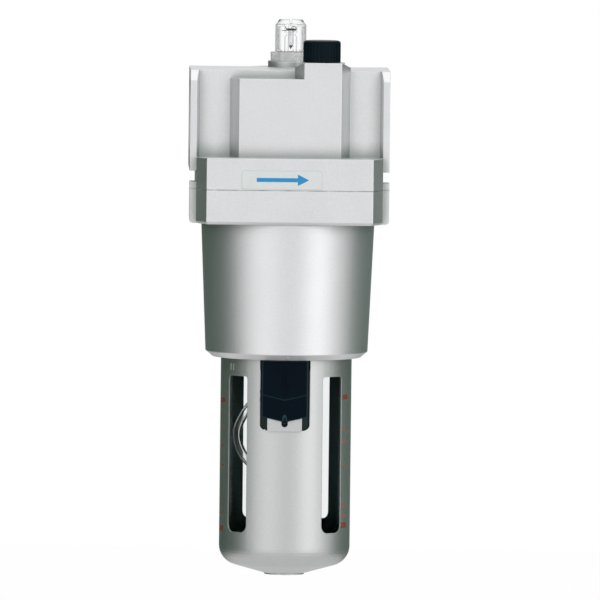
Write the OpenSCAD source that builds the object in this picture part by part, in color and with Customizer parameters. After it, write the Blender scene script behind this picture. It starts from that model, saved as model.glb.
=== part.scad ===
// Air line lubricator: die-cast head and housing over a clear oil bowl in a slotted metal guard.
// X runs with the air flow, -Y is the front, Z is up, and the origin is the inlet port's mouth.

/* [Ports] */
// Distance between the two port faces
port_span = 90; // [86:1:104]
// Radius of the tapped port holes
port_r = 15.15; // [12:0.05:15.5]
// Depth of each port hole
port_depth = 22; // [16:0.5:24]
// Radius of the air passage between the ports
passage_r = 10.5; // [8.5:0.1:11]

/* [Head] */
// Height of the head's top above the port axis
head_top = 23.2; // [21:0.1:28]
// Depth of the head's underside below the port axis
head_below = 30.1; // [28:0.1:34]
// Half depth of the head's core, front to back
core_y = 22; // [20:0.5:24]
// How much each side of the core leans in from top to bottom
core_draft = 0.8; // [0:0.1:1.5]
// Half depth of a port flange
ear_y = 27.5; // [25:0.5:31]
// Depth of a port flange's foot below the port axis
ear_low = 22.1; // [19:0.1:23]
// Thickness of a port flange at its edge
ear_t = 3; // [2.4:0.1:3.6]
// Extra thickness of a port flange where it meets the core
ear_root = 1.3; // [0.6:0.1:2]
// Size of the cut at a port flange's top corners, across its thickness
ear_cut = 3.6; // [2:0.1:5]
// Drop of that cut down the flange's front edge
ear_cut_drop = 4.6; // [3:0.1:6]

/* [Front block] */
// Half width of the front block at its face
block_half = 23; // [20:0.1:25]
// Depth of the front block in front of the core
block_d = 8.5; // [6:0.1:9.5]
// Width that the block's side bevels add at its root
block_bevel = 4.1; // [2:0.1:5]
// Drop of the block's top below the head's top
block_drop = 3.6; // [2:0.1:6]
// Rise of the fill boss above the head's top
boss_rise = 3.8; // [3:0.1:6]
// Drop of the fill boss's bevelled top corners
boss_corner = 2.3; // [1:0.1:3]

/* [Base flange] */
// Height of the head's base flange
flange_h = 14.3; // [12:0.1:15]
// How far the side tabs stand out from the flange
tab_out = 3; // [2:0.1:4]
// Distance of the side tabs' front faces from the middle
tab_y = 28; // [22:0.5:30]
// Depth of the side tabs, front to back
tab_d = 10; // [6:0.5:20]
// Height of the head's side tab
tab_h = 3.1; // [2:0.1:5]
// Width of the flange's corner bevel, seen from the front
corner_w = 4.6; // [3:0.1:6]
// Depth of the flange's corner bevel, front to back
corner_d = 9; // [6:0.1:11]

/* [Housing] */
// Height of the housing's square ring
ring_h = 15.5; // [13:0.1:20]
// Size of the bevel round the ring's lower edge
ring_edge = 1.2; // [0.6:0.1:2]
// How far the ring stands out from the housing, front and back
ring_rim = 1.8; // [1.6:0.1:6]
// Height of the whole housing below the joint
housing_h = 76.9; // [74:0.1:95]
// Width of the housing's lip round the guard
lip_w = 7.1; // [6.9:0.1:8]
// How much the housing's radius grows from its lip to its ring
housing_taper = 2.5; // [1.5:0.1:3]
// Height of the lower chamfer
chamfer_h = 2.6; // [2:0.1:4]
// Width of the lower chamfer
chamfer_w = 3.1; // [2:0.1:3.4]
// Wall thickness of the housing
housing_wall = 4.7; // [3.6:0.1:5.2]
// Radius of the rounding at the lower corners of the side tabs
tab_round = 1.6; // [0.8:0.1:2.5]

/* [Bayonet] */
// Thickness of the lip that the lugs rest on
lip_t = 3.6; // [3:0.1:5]
// Height of the lugs
lug_h = 4.2; // [3:0.1:5]
// How far the lugs stand out from the collar
lug_out = 2.3; // [1.6:0.1:2.6]
// Number of lugs
lug_count = 4; // [4:2:4]
// Angle that each lug spans
lug_angle = 30; // [20:1:36]
// Thickness of the collar round the guard
collar_t = 1; // [0.8:0.1:1.2]
// Height of the collar
collar_h = 5.4; // [5.2:0.1:6.5]

/* [Guard] */
// Outer radius of the bowl guard
guard_r = 29.6; // [28.6:0.1:29.8]
// Thickness of the guard's sheet
guard_t = 0.8; // [0.6:0.1:1]
// Length of the guard below the housing
guard_drop = 98.7; // [90:0.1:120]
// Radius of the guard's lower corner
guard_corner = 9; // [6:0.5:12]
// Slope of the guard's bottom
guard_slope = 17.2; // [8:0.1:20]
// Radius of the flat boss under the guard
foot_r = 9; // [6:0.5:12]
// Height of the flat boss under the guard
foot_h = 0.5; // [0.3:0.1:2]
// Turn of the locked guard, seen from above
guard_turn = -2; // [-3:0.5:3]

/* [Windows] */
// Width of a guard window
window_w = 12.2; // [8:0.1:14]
// Distance of the windows' tops below the housing
window_top = 7.9; // [6:0.1:12]
// Height of the front windows
window_h = 70.7; // [50:0.1:74]
// Rise of the rear windows' feet above the front ones
window_rise = 3.6; // [0:0.1:8]
// Corner radius at a window's top
window_round_top = 1.4; // [0.8:0.1:3]
// Corner radius at a window's bottom
window_round_low = 3.4; // [1:0.1:5]
// Corner radius at the foot of the button's window
window_round_foot = 3; // [1:0.1:4]
// Angle of the front windows from the lock button
window_front = 47; // [44:1:50]
// Angle of the rear windows from the lock button
window_rear = 149; // [140:1:156]

/* [Bowl] */
// Wall thickness of the clear bowl
bowl_wall = 3; // [2.4:0.1:3.6]
// Height of the bowl's neck above its flange
neck_h = 11; // [9:0.1:14]
// Thickness of the bowl's flange
bowl_flange_t = 2.1; // [1.6:0.1:2.6]
// Radius of the bowl's ring section
bowl_ring_r = 1.2; // [1:0.05:1.3]

/* [Lock] */
// Half width of the lock button
button_half = 10.2; // [8:0.1:11]
// Height of the lock button at its sides
button_h = 25.3; // [23:0.1:30]
// Extra height of the button at its centre, from the V at its foot
button_v = 2.4; // [1:0.1:2.6]
// Depth of the button at its top
button_d = 2.1; // [2:0.1:2.4]
// Extra depth at the button's finger ridge
ridge_d = 1.7; // [1:0.1:2.4]
// Height of the ridge above the button's foot
ridge_h = 7.4; // [5:0.1:10]
// Travel of the button when it is pulled down
button_travel = 3.4; // [2.6:0.1:5]
// Half width of the tongue behind the button
tongue_half = 7.8; // [6:0.1:8.2]
// Height of the tongue
tongue_h = 24; // [18:0.1:25]
// Half width of the slot in the tongue
tongue_slot = 1.45; // [1.4:0.05:1.8]
// Radius of the spring's wire
spring_wire = 0.2; // [0.15:0.01:0.25]
// Turns of the spring
spring_turns = 6; // [4:1:8]

/* [Sight dome] */
// Distance of the dome to the right of the bowl's axis
dome_x = 0.8; // [0:0.1:2]
// Radius of the clear dome
dome_r = 7; // [6.4:0.1:7.6]
// Height of the dome's shoulder above its nut
dome_h = 13.2; // [11:0.1:18]
// Radius of the dome's top disc
dome_disc_r = 5.6; // [4:0.1:6]
// Height of the dome's top disc
dome_disc_h = 1.5; // [1:0.1:2.5]
// Height of the bevel round the dome's shoulder
dome_cut = 1; // [0.6:0.1:1.6]
// Wall thickness of the dome
dome_wall = 1.4; // [1:0.1:1.6]
// Radius across the corners of the dome's nut
nut_r = 9.1; // [8.9:0.1:10]
// Height of the dome's nut
nut_h = 4.1; // [3:0.1:6]
// Radius of the boss under the nut
dome_boss_r = 10.2; // [10:0.1:12]
// Height of the boss under the nut
dome_boss_h = 2.7; // [2:0.1:4]
// Radius of the drip nozzle
nozzle_r = 2.9; // [2.5:0.1:3.2]
// Radius of the needle's stem
needle_r = 1.1; // [0.8:0.05:1.3]

/* [Fill plug] */
// Distance of the fill plug to the right of the bowl's axis
plug_x = 14.1; // [12.4:0.1:14.4]
// Radius of the fill plug's knob
knob_r = 8.45; // [8.2:0.05:9]
// Height of the knob
knob_h = 9.7; // [7:0.1:13]
// Radius of the rounding at the knob's top
knob_round = 1.3; // [0.8:0.1:2]
// Number of grip flutes round the knob
knob_flutes = 30; // [20:2:36]
// Radius of the plug's threaded shank
plug_r = 5.8; // [5.2:0.1:6]
// Length of the plug's shank
plug_l = 8.6; // [6:0.1:10]
// Radius of the fill passage down to the bowl
fill_r = 4.5; // [3:0.1:4.8]
// Wall between the fill passage and the outlet port
port_wall = 1.85; // [1.6:0.05:2.4]

/* [Damper] */
// Wall of the damper cartridge round the passage
cartridge_wall = 3.5; // [3:0.1:4]
// Rise of the cartridge above the passage
cartridge_rise = 3.3; // [2.6:0.1:5]
// Thickness of the damper flap
flap_t = 1.2; // [0.8:0.1:1.8]
// Radius of the damper's pin
pin_r = 0.5; // [0.4:0.05:0.7]
// Largest swing of the damper flap
flap_swing = 35; // [20:1:40]

/* [Oil path] */
// Radius of the siphon bore in the head
siphon_r = 3.6; // [3.4:0.1:4]
// Wall between the damper cartridge and the siphon bore
siphon_wall = 2.4; // [2:0.1:3]
// Radius of the check balls
ball_r = 1.5; // [1.3:0.05:1.7]
// Lift of the check balls
ball_lift = 1.2; // [0.8:0.1:1.5]
// Outer radius of the oil tube
tube_r = 2; // [1.8:0.1:2.2]
// Bore radius of the oil tube
tube_bore = 1.2; // [0.8:0.1:1.4]
// Radius of the oil strainer
strainer_r = 6.5; // [5:0.1:9]
// Height of the oil strainer
strainer_h = 12; // [8:0.5:16]
// Height of the strainer's foot above the guard's foot
strainer_lift = 16; // [12:0.5:22]
// Height of the siphon fitting's seal above the recess
siphon_ring_h = 8; // [7:0.5:10]

/* [Fasteners] */
// Radius of the housing screws' thread
screw_r = 2.5; // [2:0.1:3]
// Radius of the screw heads
screw_head_r = 4.25; // [4:0.05:4.6]
// Height of the screw heads
screw_head_h = 5; // [4:0.1:6]
// Grip of the screws in the head
screw_grip = 10; // [8:0.5:11]
// Distance of the screws in from the flange's faces
screw_inset = 8.2; // [7.6:0.1:9]
// Thickness of the spring washers
washer_t = 1.1; // [0.8:0.1:1.5]

/* [Clearances] */
// Gap round a part that turns or slides
run_gap = 0.3; // [0.25:0.05:0.4]
// Gap in a close running fit
fit_gap = 0.05; // [0.03:0.01:0.08]

/* [Hidden] */
$fn = 96;
eps = 0.01;

port_x = port_span / 2;
housing_low_r = guard_r + lip_w;
housing_r = housing_low_r + housing_taper;
flange_y = housing_r + ring_rim;
core_x = port_x - ear_t - ear_root;
flange_x = port_x - tab_out;
z_joint = -head_below;
z_flange = z_joint + flange_h;
z_ring = z_joint - ring_h;
z_lip = z_joint - housing_h;
z_foot = z_lip - guard_drop;
block_y = core_y + block_d;
boss_top = head_top + boss_rise;

cartridge_r = passage_r + cartridge_wall;
cartridge_top = passage_r + cartridge_rise;
dome_y = cartridge_r + siphon_wall + siphon_r;
plug_y = -(port_r + port_wall + fill_r);
rear_half = dome_boss_r + 2.5;
rear_flare = 5;
rear_y = dome_y + dome_boss_r + 0.3;
drip_r = 1.1;
drip_l = 13;
drip_tilt = 35;
boss_in = 0.5;
boss_rim = 1.9;
recess_h = 5;
z_recess = z_joint + recess_h;
cavity_r = housing_r - housing_wall;
cartridge_flange_t = 3.5;
cartridge_screw_r = 1.5;
cartridge_land = 2.9;
cartridge_ear_r = cartridge_screw_r + cartridge_land;
cartridge_ear_x = cartridge_r + 3.6;
cartridge_thread = 7;
cartridge_ring_r = 0.85;

face_ring_r = 1.3;
face_ring_mid = cavity_r + 0.6 + face_ring_r + 0.1 + 0.9;
screw_x = flange_x - screw_inset;
screw_y = flange_y - screw_inset;
counterbore_r = screw_head_r + 0.5;
socket_r = screw_r - 0.2;
socket_h = 3.6;
counterbore_h = screw_head_h + washer_t + 0.9;
z_screw_seat = z_ring + counterbore_h;

collar_r = guard_r + fit_gap + collar_t;
lug_r = collar_r + lug_out;
lip_r = collar_r + run_gap;
channel_r = lug_r + 0.5;
bowl_r = guard_r - guard_t - 0.4;
bowl_in = bowl_r - bowl_wall;
z_lip_top = z_lip + lip_t;
z_lug = z_lip_top + 0.15;
z_collar_top = z_lug + lug_h + 0.2;
z_collar = z_collar_top - collar_h;
bowl_flange_r = collar_r - 0.1;
z_flange_top = z_collar_top + bowl_flange_t;
z_channel_top = z_flange_top + run_gap;
neck_r = bowl_r + 0.2;
seal_r = neck_r + run_gap;
z_neck = z_flange_top + neck_h;
z_seal_top = z_neck + 2;
bowl_ring_z = z_flange_top + neck_h / 2;
bowl_ring_mid = seal_r - fit_gap - bowl_ring_r;
slot_angle = lug_angle + 6;

button_in = bowl_r + 0.5;
button_back = bowl_r * 0.9;
z_button = z_lip - run_gap;
button_half_gap = 1.1;
z_window_foot = z_button - button_h - button_v - button_travel - 0.5;
tongue_t = 0.8;
tongue_y = button_in + 0.9;
spring_r = tongue_slot - 0.15 - spring_wire;
fold_t = 0.9;
slot_z = z_window_foot + 1.65;
spring_z = slot_z + 0.5;
rib_z = z_button - button_h + 4.4;

z_boss = head_top + dome_boss_h;
z_nut_top = z_boss + nut_h;
nut_thread_r = dome_r + 0.5;
nut_bore = dome_r - 1.1;
nut_ring_r = 0.5;
z_chamber = head_top - 5.2;
nozzle_bore = 1.2;
nozzle_top = z_nut_top + dome_h - 5;
needle_foot = nozzle_top - 6;

plug_bore = plug_r + run_gap;
plug_ring_r = 0.9;
plug_ring_mid = plug_r + 0.15 + plug_ring_r;
plug_gap = 0.2;

siphon_top = z_recess + 13;
siphon_ring_r = 0.6;
hex_r = 4.4;
barb_l = 8;
ball_bore = ball_r + 0.2;
valve_x = cartridge_ear_x + 8.4;
valve_r = 3.9;
valve_h = 3.4;
valve_port_r = 1.1;
valve_slot = 0.8;

pin_z = passage_r - 1.5;
flap_x = 0.9;
flap_r = passage_r - 0.6;

// The oil tube's route: straight below the siphon fitting, then as shares of the bowl's free
// radius and of the depth down to the strainer, then straight into the strainer
tube_reach = bowl_in - tube_r - 1.1;
z_strainer = z_foot + strainer_h + strainer_lift;
tube_bow = [[-0.01, 0.68, 0.27], [0.03, 0.53, 0.39], [0.08, 0.36, 0.51], [-0.13, 0.13, 0.6],
    [-0.58, -0.04, 0.65], [-0.87, -0.13, 0.705], [-0.985, -0.16, 0.76], [-0.87, -0.13, 0.82],
    [-0.58, 0, 0.87], [-0.2, 0.04, 0.92]];
tube_foot_x = -0.03 * tube_reach;
tube_steps = 5;
tube_sides = 12;

function unit(v) = v / norm(v);
function blend(p, i, t) =
    let (a = p[max(i - 1, 0)], b = p[i], c = p[i + 1], d = p[min(i + 2, len(p) - 1)])
    0.5 * (2 * b + (c - a) * t + (2 * a - 5 * b + 4 * c - d) * t * t
        + (3 * b - a - 3 * c + d) * t * t * t);
function along(p, steps) = concat(
    [for (i = [0:len(p) - 2]) for (s = [0:steps - 1]) blend(p, i, s / steps)],
    [p[len(p) - 1]]);
function tangent(p, i) = unit(p[min(i + 1, len(p) - 1)] - p[max(i - 1, 0)]);
function ring_points(p, i, r, n) =
    let (t = tangent(p, i), u = unit(cross(t, [0, 1, 0])), v = cross(u, t))
    [for (k = [0:n - 1]) p[i] + r * (cos(360 * k / n) * u + sin(360 * k / n) * v)];
function arc_points(x, z, r, from, to, n) =
    [for (k = [0:n]) [x + r * cos(from + (to - from) * k / n), z + r * sin(from + (to - from) * k / n)]];

module on_axis() {
    translate([port_x, 0, 0]) children();
}

module at_guard() {
    on_axis() rotate(guard_turn) children();
}

module disc(r, z0, z1) {
    translate([0, 0, z0]) cylinder(h = z1 - z0, r = r);
}

module tube(r_out, r_in, z0, z1) {
    difference() {
        disc(r_out, z0, z1);
        disc(r_in, z0 - eps, z1 + eps);
    }
}

module torus(mid, r, z) {
    translate([0, 0, z]) rotate_extrude() translate([mid, 0]) circle(r = r, $fn = 32);
}

// Groove round a shaft of radius r for a ring of section radius minor
module groove(r, minor, z) {
    tube(r + 1, r - 2 * minor - 0.05, z - minor - 0.1, z + minor + 0.1);
}

module upright(z0, z1) {
    translate([0, 0, z0]) linear_extrude(height = z1 - z0) children();
}

module front_view(y0, y1) {
    translate([0, y1, 0]) rotate([90, 0, 0]) linear_extrude(height = y1 - y0) children();
}

module at_corners() {
    for (sx = [-1, 1]) for (sy = [-1, 1]) translate([sx * screw_x, sy * screw_y, 0]) children();
}

module flange_plan() {
    x0 = flange_x - corner_w;
    y0 = flange_y - corner_d;
    polygon([[-x0, -flange_y], [x0, -flange_y], [flange_x, -y0], [flange_x, y0], [x0, flange_y],
        [-x0, flange_y], [-flange_x, y0], [-flange_x, -y0]]);
}

// One port flange on the right, thicker where it meets the core, its top corners cut off
module ear() {
    edge_x = port_x - ear_t;
    intersection() {
        upright(-ear_low, head_top)
            polygon([[core_x - 1, -core_y], [core_x, -core_y], [edge_x, -ear_y], [port_x, -ear_y],
                [port_x, ear_y], [edge_x, ear_y], [core_x, core_y], [core_x - 1, core_y]]);
        rotate([90, 0, 90]) linear_extrude(height = port_x)
            polygon([[-ear_y, -ear_low], [ear_y, -ear_low], [ear_y, head_top - ear_cut_drop],
                [ear_y - ear_cut, head_top], [ear_cut - ear_y, head_top],
                [-ear_y, head_top - ear_cut_drop]]);
    }
}

module front_block() {
    root_x = block_half + block_bevel;
    boss_x = plug_x - knob_r + boss_in;
    upright(z_flange - 1, head_top - block_drop)
        polygon([[-root_x, -core_y], [root_x, -core_y], [block_half, -block_y],
            [-block_half, -block_y]]);
    intersection() {
        upright(z_flange - 1, boss_top)
            polygon([[boss_x - block_bevel, -core_y], [root_x, -core_y], [block_half, -block_y],
                [boss_x, -block_y]]);
        front_view(-block_y, -core_y)
            polygon([[boss_x - block_bevel, z_flange], [root_x, z_flange],
                [root_x, boss_top - boss_corner], [block_half, boss_top], [boss_x, boss_top],
                [boss_x - block_bevel, boss_top - boss_corner]]);
    }
    intersection() {
        translate([plug_x, plug_y, 0]) disc(knob_r + boss_rim, head_top - 1, boss_top);
        translate([0, -core_y - eps, 0]) cube([port_x, core_y, boss_top + 1]);
    }
}

module rear_block() {
    upright(z_flange - 1, head_top)
        polygon([[-rear_half - rear_flare, core_y - 1], [rear_half + rear_flare, core_y - 1],
            [rear_half, rear_y], [-rear_half, rear_y]]);
}

// The slanting hole by which oil drops from the dome's chamber to the air passage
module drip_hole() {
    translate([dome_x, dome_y - nozzle_r - drip_r - 0.5, z_chamber]) rotate([-drip_tilt, 0, 0])
        disc(drip_r, -drip_l, drip_r / 2);
}

module head_casting() {
    color("silver") on_axis() difference() {
        union() {
            front_view(-core_y, core_y)
                polygon([[-core_x, head_top], [core_x, head_top], [core_x - core_draft, z_flange - 1],
                    [core_draft - core_x, z_flange - 1]]);
            ear();
            mirror([1, 0, 0]) ear();
            front_block();
            rear_block();
            translate([dome_x, dome_y, 0]) disc(dome_boss_r, head_top - 1, z_boss);
            upright(z_joint, z_flange) flange_plan();
            translate([-port_x, -tab_y, z_joint]) cube([port_span, tab_d, tab_h]);
        }
        for (s = [-1, 1]) translate([s * (port_x - port_depth / 2 + eps), 0, 0]) rotate([0, 90, 0])
            cylinder(h = port_depth + 2 * eps, r = port_r, center = true);
        rotate([0, 90, 0]) cylinder(h = port_span - port_depth, r = passage_r, center = true);
        disc(cartridge_r + fit_gap, z_joint - 1, cartridge_top + fit_gap);
        disc(cavity_r - 0.4, z_joint - 1, z_recess);
        for (s = [-1, 1]) translate([s * cartridge_ear_x, 0, 0])
            disc(cartridge_screw_r + fit_gap, z_recess - 1, z_recess + cartridge_thread + 1);
        translate([plug_x, plug_y, 0]) {
            disc(fill_r, z_recess - 1, boss_top + 1);
            disc(plug_bore, boss_top - plug_l - 1, boss_top + 1);
            disc(plug_ring_mid + plug_ring_r + 0.15, boss_top - 2 * plug_ring_r - 0.1, boss_top + 1);
        }
        translate([0, dome_y, 0]) disc(siphon_r, z_recess - 1, siphon_top);
        translate([dome_x, dome_y, 0]) {
            disc(nozzle_bore, siphon_top - 1, z_boss + 1);
            disc(nut_thread_r + fit_gap, z_chamber, z_boss + 1);
        }
        drip_hole();
        translate([-valve_x, 0, 0]) {
            disc(valve_r + fit_gap, z_recess - 1, z_recess + valve_h);
            disc(ball_bore, z_recess, z_recess + valve_h + 2 * ball_r + ball_lift + 0.1);
            disc(valve_port_r, z_recess, 0);
        }
        at_corners() disc(screw_r + fit_gap, z_joint - 1, z_joint + screw_grip + 1);
    }
}

module housing_profile() {
    polygon([[0, z_ring + 2], [housing_r, z_ring + 2], [housing_r, z_ring],
        [housing_low_r, z_lip + chamfer_h], [housing_low_r - chamfer_w, z_lip], [0, z_lip]]);
}

module cavity_profile() {
    low_r = housing_low_r - housing_wall;
    polygon([[0, z_joint + 1], [cavity_r, z_joint + 1], [cavity_r, z_joint], [low_r, z_seal_top],
        [seal_r, z_seal_top - 1.5], [seal_r, z_channel_top], [channel_r, z_channel_top],
        [channel_r, z_lip_top], [lip_r, z_lip_top], [lip_r, z_lip - 1], [0, z_lip - 1]]);
}

module side_tab() {
    edge = port_x - tab_round;
    front_view(-tab_y, tab_d - tab_y) polygon(concat([[flange_x - 1, z_joint], [flange_x - 1, z_ring]],
        arc_points(edge, z_ring + tab_round, tab_round, -90, 0, 6), [[port_x, z_joint]]));
}

module bayonet_slot() {
    slot_r = lug_r + run_gap;
    reach = slot_r / cos(slot_angle / 2);
    upright(z_lip - 1, z_lip_top + 1) intersection() {
        circle(r = slot_r);
        polygon([[0, 0], [-reach * sin(slot_angle / 2), -reach * cos(slot_angle / 2)],
            [0, -reach], [reach * sin(slot_angle / 2), -reach * cos(slot_angle / 2)]]);
    }
}

module bowl_housing() {
    color("silver") on_axis() difference() {
        union() {
            hull() {
                upright(z_ring + ring_edge, z_joint) flange_plan();
                upright(z_ring, z_joint) offset(delta = -ring_edge) flange_plan();
            }
            side_tab();
            mirror([1, 0, 0]) side_tab();
            rotate_extrude() housing_profile();
        }
        rotate_extrude() cavity_profile();
        rotate(guard_turn + 180 / lug_count) for (k = [0:lug_count - 1])
            rotate(360 * k / lug_count) bayonet_slot();
        tube(face_ring_mid + face_ring_r + 0.1, face_ring_mid - face_ring_r - 0.1,
            z_joint - 2 * face_ring_r - 0.1, z_joint + 1);
        at_corners() {
            disc(screw_r + run_gap, z_ring - 1, z_joint + 1);
            disc(counterbore_r, z_ring - 1, z_screw_seat);
        }
    }
}

module housing_ring() {
    color("dimgray") on_axis() torus(face_ring_mid, face_ring_r, z_joint - face_ring_r - fit_gap);
}

module housing_screws() {
    color("gray") on_axis() at_corners() difference() {
        union() {
            disc(screw_r, z_screw_seat - 1, z_joint + screw_grip);
            disc(screw_head_r, z_screw_seat - washer_t - screw_head_h, z_screw_seat - washer_t);
            disc(screw_r, z_screw_seat - washer_t - 1, z_screw_seat);
        }
        translate([0, 0, z_screw_seat - washer_t - screw_head_h - 1])
            cylinder(h = socket_h + 1, r = socket_r, $fn = 6);
    }
}

module screw_washers() {
    color("gray") on_axis() at_corners()
        tube(screw_head_r, screw_r + 0.1, z_screw_seat - washer_t, z_screw_seat);
}

module damper_cartridge() {
    color("dimgray") on_axis() difference() {
        union() {
            disc(cartridge_r, z_recess, cartridge_top);
            disc(cartridge_r + 1, z_recess - cartridge_flange_t, z_recess);
            translate([-cartridge_ear_x, -cartridge_ear_r, z_recess - cartridge_flange_t])
                cube([2 * cartridge_ear_x, 2 * cartridge_ear_r, cartridge_flange_t]);
            for (s = [-1, 1]) translate([s * cartridge_ear_x, 0, 0])
                disc(cartridge_ear_r, z_recess - cartridge_flange_t, z_recess);
        }
        rotate([0, 90, 0]) for (s = [-1, 1]) translate([0, 0, s * (cartridge_r / 2 + 0.4) - 0.4])
            cylinder(h = cartridge_r - 1.2, r = passage_r, center = true);
        rotate([0, 90, 0]) cylinder(h = 2 * cartridge_r, r = passage_r - 2.5, center = true);
        translate([flap_x + flap_t / 2, 0, pin_z]) rotate([90, 0, 0])
            cylinder(h = passage_r + 2, r = pin_r + fit_gap / 2, center = true);
        drip_hole();
        groove(cartridge_r, cartridge_ring_r, z_recess + 4);
        for (s = [-1, 1]) translate([s * cartridge_ear_x, 0, 0])
            disc(cartridge_screw_r + 0.15, z_recess - cartridge_flange_t - 1, z_recess + 1);
    }
}

module cartridge_screws() {
    seat = z_recess - cartridge_flange_t;
    color("gray") on_axis() for (s = [-1, 1]) translate([s * cartridge_ear_x, 0, 0]) difference() {
        union() {
            disc(cartridge_screw_r, seat - 1, z_recess + cartridge_thread);
            disc(2 * cartridge_screw_r - 0.2, seat - 1.3, seat);
        }
        translate([-4, -0.35, seat - 2]) cube([8, 0.7, 1.3]);
    }
}

module cartridge_ring() {
    color("black") on_axis() torus(cartridge_r - cartridge_ring_r, cartridge_ring_r, z_recess + 4);
}

module damper_flap() {
    mid_x = flap_x + flap_t / 2;
    color("darkolivegreen") on_axis() difference() {
        union() {
            intersection() {
                translate([flap_x, 0, 0]) rotate([0, 90, 0]) cylinder(h = flap_t, r = flap_r);
                translate([0, -flap_r, -flap_r]) cube([5, 2 * flap_r, flap_r + pin_z]);
            }
            translate([mid_x, 0, pin_z]) rotate([90, 0, 0])
                cylinder(h = 4.4, r = pin_r + 0.4, center = true);
        }
        translate([mid_x, 0, pin_z]) rotate([90, 0, 0])
            cylinder(h = passage_r, r = pin_r + fit_gap, center = true);
    }
}

module damper_pin() {
    color("gray") on_axis() translate([flap_x + flap_t / 2, 0, pin_z]) rotate([90, 0, 0])
        cylinder(h = passage_r + 1.8, r = pin_r, center = true);
}

module dome_nut() {
    color("whitesmoke", 0.5) on_axis() translate([dome_x, dome_y, 0]) difference() {
        union() {
            translate([0, 0, z_boss]) cylinder(h = nut_h, r = nut_r, $fn = 6);
            disc(nut_thread_r, z_chamber + 2.6, z_boss);
        }
        disc(nut_bore, z_chamber, z_nut_top + 1);
        disc(nut_bore + 1.1, z_nut_top - 1.9, z_nut_top + 1);
        groove(nut_thread_r, nut_ring_r, z_boss - 2.4);
    }
}

module dome_nut_ring() {
    color("black") on_axis() translate([dome_x, dome_y, 0])
        torus(nut_thread_r - nut_ring_r, nut_ring_r, z_boss - 2.4);
}

module sight_dome() {
    r_in = dome_r - dome_wall;
    shoulder = z_nut_top + dome_h;
    foot = z_nut_top - nut_h + 0.4;
    foot_r_out = nut_bore - fit_gap;
    color("whitesmoke", 0.4) on_axis() translate([dome_x, dome_y, 0]) {
        difference() {
            union() {
                rotate_extrude() polygon(concat(
                    [[0, foot], [foot_r_out, foot], [foot_r_out, z_nut_top + run_gap],
                        [dome_r, z_nut_top + run_gap]],
                    [[dome_r, shoulder - dome_cut], [dome_disc_r + 0.3, shoulder + 0.4],
                        [dome_disc_r, shoulder + dome_disc_h - 0.4],
                        [dome_disc_r - 0.4, shoulder + dome_disc_h], [0, shoulder + dome_disc_h]]));
            }
            disc(foot_r_out - 1, foot - 1, z_nut_top + 1);
            disc(r_in, z_nut_top + 1, shoulder - 1.6);
            translate([0, 0, shoulder + dome_disc_h - 0.9])
                cube([1, 2 * dome_disc_r + 1, 2], center = true);
        }
        difference() {
            tube(nozzle_r, needle_r + fit_gap, nozzle_top + 0.6, shoulder - 1.5);
            torus(needle_r + 0.5, 0.5, nozzle_top + 2);
        }
    }
}

module dome_ring() {
    color("black") on_axis() translate([dome_x, dome_y, 0])
        torus(nut_bore + 0.52, 0.45, z_nut_top - 1.4);
}

module drip_nozzle() {
    base = z_chamber;
    color("lightgray", 0.7) on_axis() translate([dome_x, dome_y, 0]) difference() {
        union() {
            disc(nozzle_r, base, nozzle_top - 1);
            disc(nozzle_r - 0.6, base, nozzle_top);
            disc(nut_thread_r - 0.1, base, base + 2.4);
        }
        disc(nozzle_bore, base - 1, needle_foot - 1);
        disc(needle_r + fit_gap, needle_foot - 1.5, nozzle_top + 1);
        for (k = [0:2]) rotate(120 * k - 90) translate([nozzle_r + 1.5, 0, 0])
            disc(1, base - 1, base + 3);
    }
}

module metering_needle() {
    shoulder = z_nut_top + dome_h;
    color("goldenrod") on_axis() translate([dome_x, dome_y, 0]) rotate_extrude()
        polygon([[0, needle_foot - 1], [needle_r, needle_foot + 0.8], [needle_r, shoulder - 1.8 - 0.7],
            [0, shoulder - 1.8 - 0.7]]);
}

module needle_ring() {
    color("black") on_axis() translate([dome_x, dome_y, 0])
        torus(needle_r + fit_gap + 0.44, 0.44, nozzle_top + 2);
}

module fill_plug() {
    foot = boss_top + plug_gap;
    color([0.07, 0.07, 0.08]) on_axis() translate([plug_x, plug_y, 0]) difference() {
        union() {
            rotate_extrude() polygon(concat([[0, foot], [knob_r, foot]],
                arc_points(knob_r - knob_round, foot + knob_h - knob_round, knob_round, 0, 90, 6),
                [[0, foot + knob_h]]));
            disc(plug_r, foot - plug_l, foot + 1);
        }
        for (k = [0:knob_flutes - 1]) rotate(360 * k / knob_flutes)
            translate([knob_r + 0.35, 0, 0]) disc(0.55, foot - 1, foot + knob_h + 1);
        disc(plug_r - 1.8, foot - plug_l - 1, foot);
    }
}

module fill_plug_ring() {
    color("dimgray") on_axis() translate([plug_x, plug_y, 0])
        torus(plug_ring_mid, plug_ring_r, boss_top - plug_ring_r - 0.05);
}

module siphon_adapter() {
    color("goldenrod") on_axis() translate([0, dome_y, 0]) difference() {
        union() {
            disc(siphon_r - fit_gap, z_recess, siphon_top - 0.5);
            translate([0, 0, z_joint + 1]) cylinder(h = recess_h - 1, r = hex_r, $fn = 6);
            disc(tube_bore - 0.1, z_joint - barb_l, z_joint + 2);
        }
        disc(0.7, z_joint - barb_l - 1, siphon_top + 1);
        disc(ball_bore, z_recess + 2, siphon_top + 1);
        groove(siphon_r - fit_gap, siphon_ring_r, z_recess + siphon_ring_h);
    }
}

module siphon_ring() {
    color("black") on_axis() translate([0, dome_y, 0])
        torus(siphon_r - fit_gap - siphon_ring_r, siphon_ring_r, z_recess + siphon_ring_h);
}

module siphon_ball() {
    color("gainsboro") on_axis() translate([0, dome_y, z_recess + 2 + ball_r + 0.02])
        sphere(r = ball_r, $fn = 32);
}

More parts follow.
